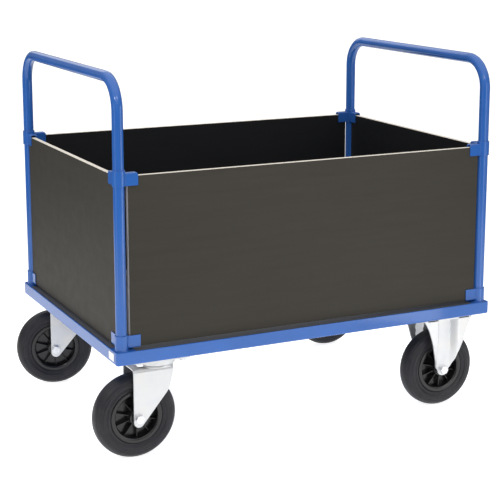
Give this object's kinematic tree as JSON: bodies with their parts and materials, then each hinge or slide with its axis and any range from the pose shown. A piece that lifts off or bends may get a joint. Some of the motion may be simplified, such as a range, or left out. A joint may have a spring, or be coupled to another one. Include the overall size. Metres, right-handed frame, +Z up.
{
  "type": "platform trolley",
  "caption": "Platform trolley with a powder-coated steel deck frame, plywood side panels all round, tubular push bows across its ends, and swivel and fixed castors.",
  "frame": {"origin": "on the floor, at the middle of the whole object's length and width", "axes": "+X along the length from the swivel castors to the fixed ones, +Y across to the back, +Z up"},
  "size_m": [1.0376, 0.7, 0.89],
  "materials": {
    "blue_powder_coat": "glossy powder coat",
    "film_faced_ply": "satin phenolic film, raw ply edges",
    "zinc_plate": "bright zinc plate",
    "tyre_rubber": "matt solid rubber",
    "wheel_plastic": "satin moulded plastic",
    "bright_steel": "zinc-plated fastener steel",
    "label_paper": "matt blank sticker"
  },
  "bodies": {
    "frame": {"front_rail": "blue_powder_coat", "back_rail": "blue_powder_coat", "left_rail": "blue_powder_coat", "right_rail": "blue_powder_coat", "left_castor_channel": "blue_powder_coat", "right_castor_channel": "blue_powder_coat", "deck_board": "film_faced_ply", "front_left_socket": "blue_powder_coat", "front_left_panel_bracket": "blue_powder_coat", "back_left_socket": "blue_powder_coat", "back_left_panel_bracket": "blue_powder_coat", "front_right_socket": "blue_powder_coat", "front_right_panel_bracket": "blue_powder_coat", "back_right_socket": "blue_powder_coat", "back_right_panel_bracket": "blue_powder_coat", "left_push_bow": "blue_powder_coat", "right_push_bow": "blue_powder_coat", "front_panel": "film_faced_ply", "back_panel": "film_faced_ply", "left_panel": "film_faced_ply", "right_panel": "film_faced_ply", "blank_label": "label_paper", "front_left_castor_plate": "zinc_plate", "front_left_ball_ring": "bright_steel", "front_left_kingpin": "bright_steel", "back_left_castor_plate": "zinc_plate", "back_left_ball_ring": "bright_steel", "back_left_kingpin": "bright_steel", "front_right_fork": "zinc_plate", "front_right_axle_bolt": "bright_steel", "front_right_axle_nut": "bright_steel", "back_right_fork": "zinc_plate", "back_right_axle_bolt": "bright_steel", "back_right_axle_nut": "bright_steel"},
    "front_left_castor": {"front_left_fork": "zinc_plate", "front_left_axle_bolt": "bright_steel", "front_left_axle_nut": "bright_steel"},
    "front_left_wheel": {"front_left_wheel_bush": "bright_steel", "front_left_rim": "wheel_plastic", "front_left_tyre": "tyre_rubber"},
    "back_left_castor": {"back_left_fork": "zinc_plate", "back_left_axle_bolt": "bright_steel", "back_left_axle_nut": "bright_steel"},
    "back_left_wheel": {"back_left_wheel_bush": "bright_steel", "back_left_rim": "wheel_plastic", "back_left_tyre": "tyre_rubber"},
    "front_right_wheel": {"front_right_wheel_bush": "bright_steel", "front_right_rim": "wheel_plastic", "front_right_tyre": "tyre_rubber"},
    "back_right_wheel": {"back_right_wheel_bush": "bright_steel", "back_right_rim": "wheel_plastic", "back_right_tyre": "tyre_rubber"}
  },
  "joints": [
    {"name": "front_left_swivel", "type": "hinge", "parent": "frame", "child": "front_left_castor", "pos_m": [-0.36524, -0.288, 0.228], "axis": [0, 0, 1], "continuous": true},
    {"name": "front_left_wheel_spin", "type": "hinge", "parent": "front_left_castor", "child": "front_left_wheel", "pos_m": [-0.41924, -0.288, 0.09952], "axis": [0, 1, 0], "continuous": true},
    {"name": "back_left_swivel", "type": "hinge", "parent": "frame", "child": "back_left_castor", "pos_m": [-0.36524, 0.288, 0.228], "axis": [0, 0, 1], "continuous": true},
    {"name": "back_left_wheel_spin", "type": "hinge", "parent": "back_left_castor", "child": "back_left_wheel", "pos_m": [-0.41816, 0.29877, 0.09952], "axis": [0.1994, 0.9799, 0], "continuous": true},
    {"name": "front_right_wheel_spin", "type": "hinge", "parent": "frame", "child": "front_right_wheel", "pos_m": [0.40276, -0.288, 0.09952], "axis": [0, 1, 0], "continuous": true},
    {"name": "back_right_wheel_spin", "type": "hinge", "parent": "frame", "child": "back_right_wheel", "pos_m": [0.40276, 0.288, 0.09952], "axis": [0, 1, 0], "continuous": true}
  ]
}
